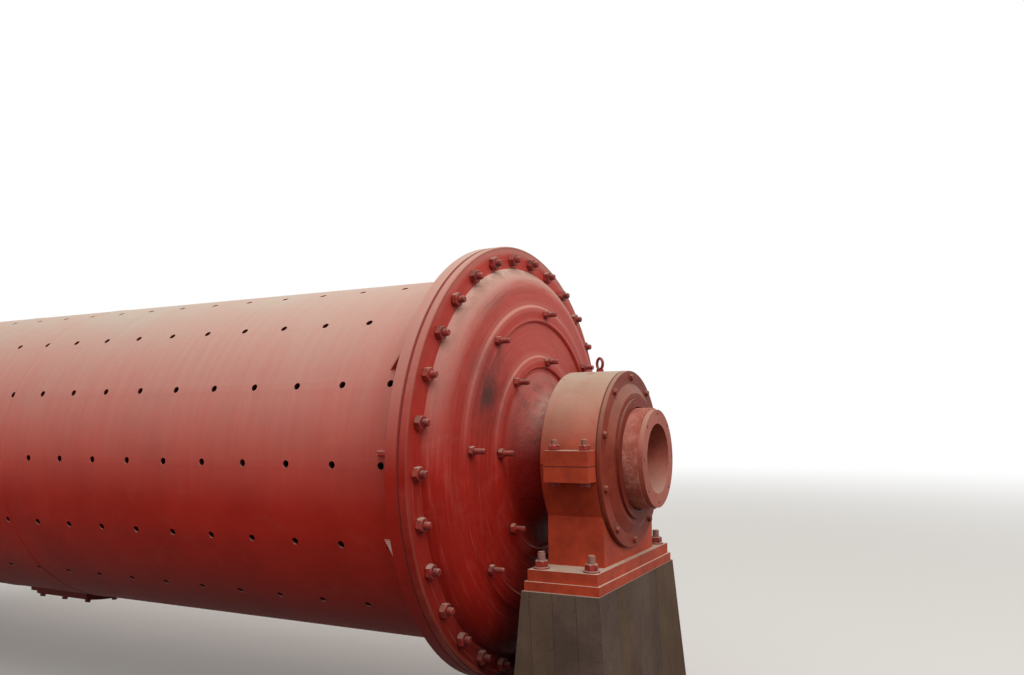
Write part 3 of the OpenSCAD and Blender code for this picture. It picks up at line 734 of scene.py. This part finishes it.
def plate_material():
    """Flanges, gussets, and the manhole's frame and cover."""
    graph = Graph("flange_primer")
    radius, _ = graph.about_drum()
    base, dust = dusted(graph, worn_red(graph, 0.25), 0.84)
    return graph.finish(joint_crease(graph, base, radius), graph.ramp(dust, 0, 1, CLEAN_ROUGH, DUSTY_ROUGH),
                        graph.noise(24, 4), 0.001)


def housing_seams(graph, base):
    """Dark lines where the cap meets the base and where the end cover meets the housing."""
    split_half_w, split_edge, face_w = 0.0015, 0.004, 0.006
    cap_edge, rim_inside, rim_outside, boss_edge = (0.39, 0.40), (0.40, 0.41), (0.428, 0.423), (0.300, 0.288)
    x, _, z = graph.split(graph.place)
    radius, _ = graph.about_drum()
    out = graph.math("SUBTRACT", graph.math("ABSOLUTE", x), CAP_FRONT_X)
    split = graph.product(graph.ramp(graph.gap(z, AXIS_H - SPLIT_DROP), split_half_w, split_edge, 0.85, 0),
                          graph.ramp(radius, *cap_edge), graph.ramp(out, 0.001, 0.002, 1, 0))
    rim = graph.product(graph.ramp(radius, *rim_inside), graph.ramp(radius, *rim_outside))
    face = graph.product(graph.near(out, 0.0, face_w), rim, 0.85)
    base = graph.mix(graph.ramp(radius, *boss_edge, 0, 0.5), base, BOSS_DARK)
    return graph.mix(graph.most(split, face), base, SEAM_DARK)


def bearing_material(name, paints, amount, film, seams=False):
    """Orange-red primer under brown dust, rubbed through in patches."""
    graph = Graph(name)
    paint = graph.mix(graph.patches((4.5, 6, 0.65), 0.34, 0.66), *paints)
    base, dust = dusted(graph, paint, amount, 1.35, BROWN_DUST, film)
    base = graph.mix(graph.patches((9, 7, 0.75), 0.56, 0.68, 0.5, distortion=0.5), base, paints[0])
    base = graph.mix(graph.patches((48, 4, 0.7), 0.66, 0.74, 0.5), base, RUST_SPECK)
    if seams:
        base = housing_seams(graph, base)
    return graph.finish(base, graph.ramp(dust, 0, 1, 0.5, 0.85), graph.noise(30, 5, 0.6), 0.0014)


def fastener_material():
    """Nuts and studs painted over with the drum and rubbed back to dull metal."""
    graph = Graph("painted_fasteners")
    paint = graph.mix(graph.patches((30, 4, 0.6), 0.35, 0.65), *NUT_RED)
    paint = graph.mix(graph.patches((70, 5, 0.7), 0.5, 0.62, 0.5), paint, NUT_RUST)
    base, dust = dusted(graph, paint, 0.72, 1.9, BROWN_DUST, 0.03, 0.1)
    # Painted shade on the fasteners low on the drum, as on the drum itself.
    return graph.finish(painted_low_shade(graph, base), graph.ramp(dust, 0, 1, 0.48, 0.8), graph.noise(180, 3),
                        0.0006, 0.25)


def gear_material():
    """Bare oily steel on the rim and teeth, red primer on the web and ribs."""
    graph = Graph("gear_steel_and_primer")
    radius, _ = graph.about_drum()
    steel_r, blend = GEAR_R - GEAR_STEEL_T, 0.001
    metal = graph.mix(graph.patches((12, 5, 0.65), 0.3, 0.7), *STEEL)
    metal = graph.mix(graph.patches((4, 6, 0.7), 0.6, 0.72, 0.6), metal, STEEL_RUST)
    rim = graph.ramp(radius, steel_r - blend, steel_r + blend)
    base, _ = dusted(graph, graph.mix(rim, worn_red(graph, 0.25), metal), 0.5)
    return graph.finish(base, graph.ramp(rim, 0, 1, 0.55, 0.4), graph.noise(40, 4), 0.0012, 0.3)


def liner_material():
    """Cast iron plates, brown with rust."""
    graph = Graph("liner_cast_iron")
    base = graph.mix(graph.patches((9, 6, 0.7), 0.35, 0.65), *IRON)
    return graph.finish(base, 0.75, graph.noise(60, 4), 0.002)


def concrete_material():
    """Grey-brown concrete with the marks of upright boards and runs of dirt."""
    board_w, seam_share, splash_h = 0.11, 0.045, 0.35
    graph = Graph("pier_concrete")
    x, y, z = graph.split(graph.place)
    boards = graph.product(graph.total(x, y), 1 / board_w)
    seam = graph.near(graph.math("FRACT", boards), 0.5, seam_share)
    board = graph.math("FLOOR", graph.total(boards, 0.5))
    shade = graph.node("ShaderNodeTexWhiteNoise", {"W": board}, noise_dimensions="1D").outputs["Value"]
    grain = graph.noise(1.0, 7, 0.7, graph.scaled((60.0, 60.0, 3.0)))
    base = graph.mix(graph.patches((3.0, 6, 0.65), 0.3, 0.7), *CONCRETE)
    base = graph.mix(graph.ramp(shade, 0.0, 0.6, 0.5, 0.0), base, BROWN_BOARD)
    base = graph.mix(graph.ramp(shade, 0.6, 1.0, 0.0, 0.4), base, GREY_BOARD)
    base = graph.mix(graph.ramp(grain, 0.5, 0.75, 0, 0.4), base, GRAIN_DARK)
    base = graph.mix(graph.product(seam, 0.3), base, BOARD_SEAM)
    base = graph.mix(graph.ramp(z, 0.0, splash_h, 0.45, 0.0), base, SPLASHED)
    base, _ = dusted(graph, base, 0.6, 1.5, BROWN_DUST, 0.0)
    pits = graph.ramp(graph.noise(85, 3, 0.6), 0.3, 0.42, -0.6, 0)
    height = graph.total(graph.product(grain, 0.5), pits, graph.product(seam, 0.5))
    return graph.finish(base, 0.9, height, 0.0025)


MATERIALS = {
    "shell": shell_material(),
    "head": head_material(),
    "plate": plate_material(),
    "cap": bearing_material("bearing_primer", CAP_RED, 1.0, 0.2, seams=True),
    "cover": bearing_material("cover_primer", COVER_RED, 0.62, 0.12, seams=True),
    "sleeve": bearing_material("sleeve_primer", SLEEVE_RED, 0.5, 0.1),
    "fastener": fastener_material(),
    "gear": gear_material(),
    "liner": liner_material(),
    "concrete": concrete_material(),
}

# The finish of a node, by a word in its name. A word that comes earlier here wins over a later one
NODE_FINISH = {
    "manhole": "plate", "flange": "plate", "liner": "liner", "shell": "shell", "gussets": "plate",
    "head": "head", "sleeve": "sleeve", "gear": "gear", "bearing": "cap", "cover": "cover",
    "seal": "cover", "eye": "fastener", "sole": "cap", "pier": "concrete",
}


def dress_nodes():
    """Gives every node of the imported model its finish."""
    for name, node in NODES.items():
        words = name.split("_")
        finish = next(finish for word, finish in NODE_FINISH.items() if word in words)
        node.data.materials.clear()
        node.data.materials.append(MATERIALS[finish])


# Pieces

def both_ends(name, make, body, material):
    """Makes a piece for the near end and one of the same kind for the far end."""
    for end, side in (("near", 1), ("far", -1)):
        add_piece(f"{end}_{name}", make(side), body, MATERIALS[material])


def flange_bolts(side):
    """Nuts in front of each pair of flanges, and bolt heads behind it."""
    rng = random.Random(FLANGE_SEED + side)
    head_seat = FLANGE_BACK_X if side > 0 else FLANGE_BACK_X - GEAR_WEB_T
    nuts = on_circle(lambda: nut_on_stud(rng, **FLANGE_NUT), FLANGE_BOLTS, FLANGE_BOLT_TURN,
                     side * (JOINT_X + HEAD_FLANGE_T), BOLT_CIRCLE_R, side)
    heads = on_circle(lambda: bolt_head(**FLANGE_HEAD), FLANGE_BOLTS, FLANGE_BOLT_TURN,
                      side * head_seat, BOLT_CIRCLE_R, -side)
    return joined([nuts, heads])


def head_stud_nuts(side):
    """The nuts of both rings of studs that hold the head's liner."""
    rng = random.Random(STUD_SEED + side)
    return joined([on_circle(lambda: nut_on_stud(rng, **HEAD_STUD_NUT), HEAD_STUDS, STUD_TURN,
                             side * (JOINT_X + out), r, side) for r, out in STUD_RINGS])


def cover_bolt_heads(side):
    """The heads round the end cover's edge."""
    return on_circle(lambda: bolt_head(**COVER_HEAD), COVER_BOLTS, 0, side * COVER_FACE, COVER_BOLT_R, side)


def sleeve_screws(side):
    """Round cap screws sunk in the sleeve's ring, each with a six-sided socket."""
    return on_circle(lambda: socket_screw(**SLEEVE_SCREW), SLEEVE_BOLTS, 0,
                     side * (NOSE_X - SLEEVE_RECESS), SLEEVE_BOLT_R, side)


def housing_bolts(side):
    """Nuts on top of the split ears, heads below them, and nuts on the foot's anchor bolts."""
    rng = random.Random(HOUSING_SEED + side)
    flip = Matrix.Rotation(math.pi, 4, "X")
    split_h = AXIS_H - SPLIT_DROP
    parts = []
    for x in (CAP_BACK_X + EAR_OFFSET + EAR_HOLE_EDGE, CAP_FRONT_X - EAR_HOLE_EDGE):
        for y in (-EAR_BOLT_Y, EAR_BOLT_Y):
            top = Matrix.Translation((side * x, y, split_h + EAR_T))
            low = Matrix.Translation((side * x, y, split_h - EAR_T)) @ flip
            parts.append(placed(nut_on_stud(rng, **EAR_NUT), top))
            parts.append(placed(bolt_head(**EAR_HEAD), low))
    for x in (-ANCHOR_X, ANCHOR_X):
        for y in (-ANCHOR_Y, ANCHOR_Y):
            top = Matrix.Translation((side * (HOUSING_MID_X + x), y, FOOT_TOP))
            parts.append(placed(nut_on_stud(rng, **ANCHOR_NUT), top))
    return joined(parts)


def flange_welds(side):
    """The weld where the shell meets the flange, and at the near end those of the gussets."""
    flange_seed, gear_end_seed = 1, 2
    diagonal = math.sqrt(0.5)
    if side < 0:
        return ring_bead(-FLANGE_BACK_X, GEAR_END_BEAD, gear_end_seed)
    parts = [ring_bead(FLANGE_BACK_X, FLANGE_BEAD, flange_seed, (diagonal, diagonal), (-diagonal, diagonal))]
    for i in range(GUSSETS):
        turn = Matrix.Rotation(math.radians(GUSSET_TURN + 360 * i / GUSSETS), 4, "X")
        for face in (-1, 1):
            across = turn @ Vector((0, diagonal * face, -diagonal))
            out = turn @ Vector((0, diagonal * face, diagonal))
            foot = turn @ Vector((0, face * GUSSET_HALF_T, SHELL_R)) + Vector((0, 0, AXIS_H))
            start = foot + Vector((FLANGE_BACK_X - GUSSET_L, 0, 0))
            end = foot + Vector((FLANGE_BACK_X, 0, 0))
            parts.append(straight_bead(start, end, across, out, GUSSET_BEAD, i))
    return joined(parts)


def shell_welds():
    """The two girth seams and one lengthwise seam in each course, halfway between rows of holes."""
    girth_seed = 5
    parts = [ring_bead(x, SEAM_BEAD, girth_seed + x) for x in (-SEAM_X, SEAM_X)]
    seams = ((SEAM_X, FLANGE_BACK_X, -4.5), (-SEAM_X, SEAM_X, -1.5), (-FLANGE_BACK_X, -SEAM_X, 5.5))
    for start, end, rows_from_top in seams:
        degrees = rows_from_top * HOLE_ROW_STEP
        turn = Matrix.Rotation(math.radians(degrees), 4, "X")
        out = turn @ Vector((0, 0, 1))
        across = turn @ Vector((0, 1, 0))
        base = Vector((0, 0, AXIS_H)) + out * SHELL_R
        parts.append(straight_bead(base + Vector((start, 0, 0)), base + Vector((end, 0, 0)),
                                   across, out, SEAM_BEAD, degrees))
    return joined(parts)


def manhole_bolts():
    """Bolt heads round the edge of the manhole's cover, which hangs below the shell."""
    down = Matrix.Rotation(math.pi, 4, "X")
    r = SHELL_R + MANHOLE_RISE
    parts = []
    for x in (-MANHOLE_BOLT_X, 0, MANHOLE_BOLT_X):
        for y in (-MANHOLE_BOLT_Y, 0, MANHOLE_BOLT_Y):
            if x or y:
                seat = Matrix.Translation((x, y, AXIS_H - math.sqrt(r * r - y * y)))
                tilt = Matrix.Rotation(math.asin(y / r), 4, "X")
                parts.append(placed(bolt_head(**MANHOLE_HEAD), seat @ tilt @ down))
    return joined(parts)


def gear_joint_bolts():
    """The bolts that draw the two halves of the gear together, two on each side of the web."""
    rng = random.Random(GEAR_SEED)
    flip = Matrix.Rotation(math.pi, 4, "X")
    lift = Vector((0, 0, GEAR_JOINT_HALF_T))
    parts = []
    for y_side in (-1, 1):
        for out in (-GEAR_JOINT_OUT, GEAR_JOINT_OUT):
            for r in GEAR_JOINT_R:
                middle = Vector((GEAR_MID_X + out, y_side * r, AXIS_H))
                parts.append(placed(nut_on_stud(rng, **GEAR_NUT), Matrix.Translation(middle + lift)))
                parts.append(placed(bolt_head(**GEAR_HEAD), Matrix.Translation(middle - lift) @ flip))
    return joined(parts)


def build_pieces():
    """Makes every piece, each with the body that it moves with, its slot and its finish."""
    both_ends("flange_bolts", flange_bolts, "drum", "fastener")
    both_ends("head_stud_nuts", head_stud_nuts, "drum", "fastener")
    both_ends("cover_bolts", cover_bolt_heads, "frame", "cover")
    both_ends("sleeve_screws", sleeve_screws, "drum", "fastener")
    both_ends("housing_bolts", housing_bolts, "frame", "fastener")
    both_ends("flange_welds", flange_welds, "drum", "shell")
    add_piece("shell_welds", shell_welds(), "drum", MATERIALS["shell"])
    add_piece("manhole_bolts", manhole_bolts(), "drum", MATERIALS["fastener"])
    add_piece("gear_joint_bolts", gear_joint_bolts(), "drum", MATERIALS["fastener"])


# Stage, light and camera

FLOOR_SIZE = 120
FLOOR_FADE = (6.0, 24.0)  # distances from the middle where the floor starts and ends its run into white
SKY_LIGHT = 0.65
SKY_TINT = (1.0, 0.975, 0.945, 1)
WHITE = (1, 1, 1, 1)
FRONT_PANEL = dict(place=(12.1, -7.2, 12.5), target=(2.5, -0.5, 1.6), size=12.0, share=0.55)
BACK_PANEL = dict(place=(-8.0, 9.0, 7.0), target=(0, 0, 1.4), size=8.0, share=0.15)
CAMERA_PLACE = (JOINT_X + 2.0277, -3.9963, AXIS_H + 0.2198)
CAMERA_YAW, CAMERA_PITCH, CAMERA_ROLL = 2.04469, 0.08776, -0.010


def seen_by_eye(tree):
    """1 for rays from the camera, and for those that mirror or pass it on."""
    rays = tree.nodes.new("ShaderNodeLightPath")
    seen = rays.outputs["Is Camera Ray"]
    for kind in ("Is Glossy Ray", "Is Transmission Ray"):
        either = tree.nodes.new("ShaderNodeMath")
        either.operation = "MAXIMUM"
        tree.links.new(seen, either.inputs[0])
        tree.links.new(rays.outputs[kind], either.inputs[1])
        seen = either.outputs[0]
    return seen


def build_floor():
    """A plain pale floor that throws little light back."""
    bpy.ops.mesh.primitive_plane_add(size=FLOOR_SIZE)
    floor = bpy.context.object
    floor.name = "floor"
    graph = Graph("floor_plain")
    base = graph.mix(seen_by_eye(graph.tree), FLOOR_THROWS, FLOOR_SHOWS)
    floor.data.materials.append(graph.finish(base, 0.95, graph.noise(20), 0.0005, 0.05))
    fade_to_white(graph)


def fade_to_white(graph):
    """Lets the floor run out into the white background with distance, for the camera's rays."""
    x, y, _ = graph.split(graph.place)
    share = graph.product(graph.ramp(graph.away(x, y), *FLOOR_FADE), seen_by_eye(graph.tree))
    white = graph.node("ShaderNodeEmission", {"Color": WHITE, "Strength": 1.0})
    out = next(node for node in graph.tree.nodes if node.type == "OUTPUT_MATERIAL")
    lit = out.inputs[0].links[0].from_socket
    blend = graph.node("ShaderNodeMixShader", {0: share, 1: lit, 2: white.outputs[0]})
    graph.tree.links.new(blend.outputs[0], out.inputs[0])


def build_sky():
    """Soft light from all sides, and white where the camera sees the sky."""
    world = bpy.data.worlds.new("sky")
    bpy.context.scene.world = world
    world.use_nodes = True
    tree = world.node_tree
    tree.nodes.clear()
    lit = tree.nodes.new("ShaderNodeBackground")
    lit.inputs[0].default_value = SKY_TINT
    lit.inputs[1].default_value = SKY_LIGHT
    shown = tree.nodes.new("ShaderNodeBackground")
    shown.inputs[0].default_value = WHITE
    choose = tree.nodes.new("ShaderNodeMixShader")
    out = tree.nodes.new("ShaderNodeOutputWorld")
    tree.links.new(seen_by_eye(tree), choose.inputs[0])
    tree.links.new(lit.outputs[0], choose.inputs[1])
    tree.links.new(shown.outputs[0], choose.inputs[2])
    tree.links.new(choose.outputs[0], out.inputs[0])


def area_light(name, place, target, size, share):
    """A soft square lamp that adds that share of full light to what faces it."""
    data = bpy.data.lights.new(name, "AREA")
    data.size = size
    reach = Vector(target) - Vector(place)
    data.energy = share * math.pi ** 2 * reach.length_squared
    lamp = bpy.data.objects.new(name, data)
    bpy.context.scene.collection.objects.link(lamp)
    lamp.location = place
    lamp.rotation_euler = reach.to_track_quat("-Z", "Y").to_euler()


def build_camera():
    """The photograph's viewpoint, found from the flange's rings and the rows of holes."""
    focal_px, image_w, sensor_w, farthest = 862.3, 1024, 36.0, 200
    data = bpy.data.cameras.new("camera")
    data.sensor_width = sensor_w
    data.lens = focal_px / image_w * sensor_w
    data.clip_end = farthest
    camera = bpy.data.objects.new("camera", data)
    bpy.context.scene.collection.objects.link(camera)
    forward = Vector((math.cos(CAMERA_PITCH) * math.cos(CAMERA_YAW),
                      math.cos(CAMERA_PITCH) * math.sin(CAMERA_YAW), math.sin(CAMERA_PITCH)))
    level = Vector((math.sin(CAMERA_YAW), -math.cos(CAMERA_YAW), 0))
    above = level.cross(forward)
    right = level * math.cos(CAMERA_ROLL) + above * math.sin(CAMERA_ROLL)
    up = right.cross(forward)
    turn = Matrix((right, up, -forward)).transposed().to_4x4()
    camera.matrix_world = Matrix.Translation(CAMERA_PLACE) @ turn
    bpy.context.scene.camera = camera


dress_nodes()
build_pieces()
build_floor()
build_sky()
area_light("front_panel", **FRONT_PANEL)
area_light("back_panel", **BACK_PANEL)
build_camera()
bpy.context.scene.view_settings.view_transform = "Standard"
